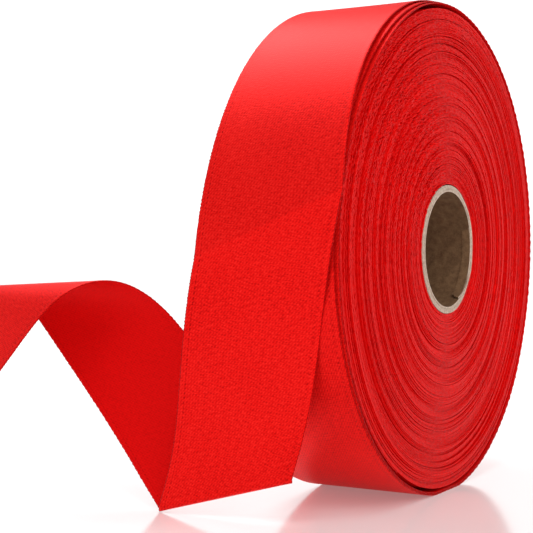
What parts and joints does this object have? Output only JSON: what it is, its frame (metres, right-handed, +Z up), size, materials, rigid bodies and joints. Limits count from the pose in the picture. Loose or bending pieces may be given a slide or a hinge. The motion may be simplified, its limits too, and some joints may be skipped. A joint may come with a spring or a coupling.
{
  "type": "ribbon roll",
  "caption": "Flangeless roll of wide satin ribbon on a paper core, standing on its rim, with the free end hanging, folded on the floor and curled away.",
  "frame": {"origin": "centre of the core's bore, half way along it", "axes": "+Y along the core, away from the open side that faces the viewer; +Z up as the roll stands; the free end leaves the roll on the -X side"},
  "size_m": [0.1951, 0.2027, 0.1481],
  "materials": {
    "ribbon_face": "satin weave",
    "ribbon_edges": "stacked woven edges",
    "core_paper": "matt cut paper",
    "core_bore_paper": "matt kraft",
    "tape": "matt"
  },
  "bodies": {
    "wrap": {"outer_turn_1": "ribbon_face", "outer_turn_2": "ribbon_face", "lead": "ribbon_face"},
    "roll": {"core_inner_liner": "core_bore_paper", "core_ply_two": "core_paper", "core_ply_three": "core_paper", "core_outer_ply": "core_paper", "starter_tape": "tape", "ribbon_turns_01": "ribbon_edges", "ribbon_turns_02": "ribbon_edges", "ribbon_turns_03": "ribbon_edges", "ribbon_turns_04": "ribbon_edges", "ribbon_turns_05": "ribbon_edges", "ribbon_turns_06": "ribbon_edges", "ribbon_turns_07": "ribbon_edges", "ribbon_turns_08": "ribbon_edges", "ribbon_turns_09": "ribbon_edges", "ribbon_turns_10": "ribbon_edges", "ribbon_turns_11": "ribbon_edges"},
    "tail": {"tail_drop": "ribbon_face", "tail_floor_fold": "ribbon_face", "tail_rise": "ribbon_face", "tail_hump": "ribbon_face", "tail_fall": "ribbon_face", "tail_foot": "ribbon_face"}
  },
  "joints": [
    {"name": "roll_spin", "type": "hinge", "parent": "wrap", "child": "roll", "pos_m": [0, 0, 0], "axis": [0, 1, 0], "continuous": true},
    {"name": "tail_lift", "type": "hinge", "parent": "wrap", "child": "tail", "pos_m": [-0.07995, -0.00145, 0.00771], "axis": [-0.0612, 0.9191, -0.3892], "range_deg": [0, 40]}
  ]
}
